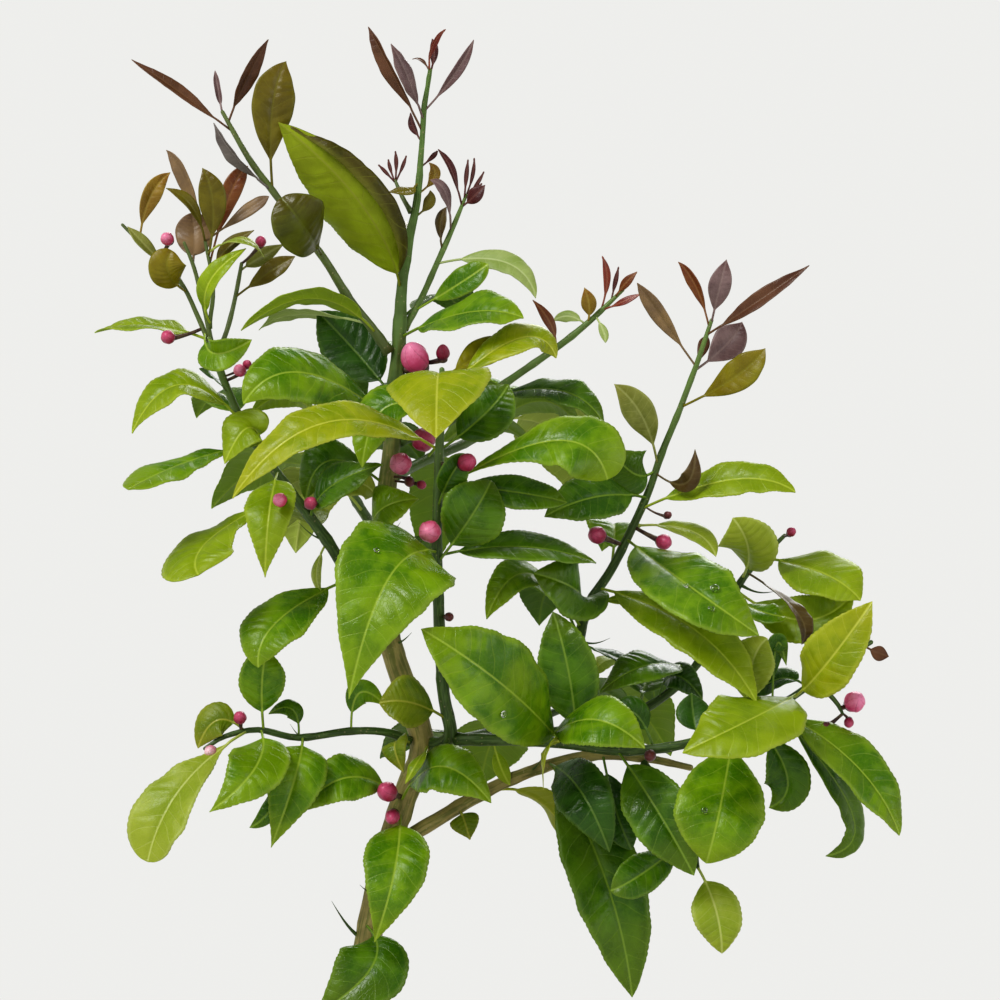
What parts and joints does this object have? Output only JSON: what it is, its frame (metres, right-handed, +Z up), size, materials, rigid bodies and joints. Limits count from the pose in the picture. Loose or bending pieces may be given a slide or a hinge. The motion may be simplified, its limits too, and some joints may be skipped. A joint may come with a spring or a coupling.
{
  "type": "potted lemon tree",
  "caption": "Young lemon tree with a bare lower trunk, spreading branches, glossy leaves and pink flower buds, in a plain terracotta pot.",
  "frame": {"origin": "middle of the pot's flat base, on the surface that the pot stands on", "axes": "+Z up along the pot's axis, +Y away from the tree's front, +X to the right seen from the front"},
  "size_m": [0.4004, 0.2506, 0.7565],
  "materials": {
    "terracotta": "matt unglazed terracotta",
    "soil": "crumbly moist potting mix of bark, peat and coir",
    "bark": "thin tan bark with green stripes",
    "green_stem": "smooth green young stem",
    "leaf_mature": "glossy waxy citrus leaf",
    "leaf_young": "soft bronze young citrus leaf",
    "flower_bud": "waxy pink bud with a dark calyx",
    "water": "clear water drops"
  },
  "bodies": {
    "root": {"pot": "terracotta", "soil": "soil", "trunk": "bark", "front_stem": "green_stem", "right_branch": "green_stem", "rear_branch": "green_stem", "right_shoot": "green_stem", "lower_branch": "bark", "low_left_twig": "green_stem", "left_branch": "green_stem", "left_shoot": "green_stem", "upper_left_shoot": "green_stem", "upper_right_twig": "green_stem", "back_left_branch": "green_stem", "back_right_branch": "green_stem", "back_low_branch": "green_stem", "leaf_top_bronze": "leaf_young", "leaf_high_left_spear": "leaf_young", "leaf_high_left_olive": "leaf_young", "leaf_high_left_round": "leaf_young", "leaf_high_left_underside": "leaf_mature", "leaf_high_left_arch": "leaf_mature", "leaf_left_amber": "leaf_young", "leaf_left_flat": "leaf_mature", "leaf_left_hooked": "leaf_mature", "leaf_left_drooping": "leaf_mature", "leaf_left_low_curved": "leaf_mature", "leaf_left_hanging": "leaf_mature", "leaf_left_shaded": "leaf_mature", "leaf_front_folded": "leaf_mature", "leaf_front_long_arch": "leaf_mature", "leaf_front_largest": "leaf_mature", "leaf_front_right_arch": "leaf_mature", "leaf_front_upright": "leaf_mature", "leaf_front_level": "leaf_mature", "leaf_upper_arch": "leaf_mature", "leaf_upper_left_broad": "leaf_mature", "leaf_right_bronze": "leaf_young", "leaf_right_mauve": "leaf_young", "leaf_right_olive": "leaf_young", "leaf_right_arch": "leaf_mature", "leaf_right_glossy": "leaf_mature", "leaf_right_shaded": "leaf_mature", "leaf_far_right_upright": "leaf_mature", "leaf_far_right_arch": "leaf_mature", "leaf_middle_glossy": "leaf_mature", "leaf_right_hanging": "leaf_mature", "leaf_far_right_end": "leaf_mature", "leaf_far_right_low": "leaf_mature", "leaf_right_level_arch": "leaf_mature", "leaf_low_right_long": "leaf_mature", "leaf_low_left_curved": "leaf_mature", "leaf_low_left_hanging": "leaf_mature", "leaf_low_left_outer": "leaf_mature", "leaf_trunk_hanging": "leaf_mature", "leaf_back_left_hanging": "leaf_mature", "leaf_back_left_arch": "leaf_mature", "leaf_back_right_arch": "leaf_mature", "leaf_back_middle_hanging": "leaf_mature", "leaf_back_low_arch": "leaf_mature"}
  },
  "joints": []
}
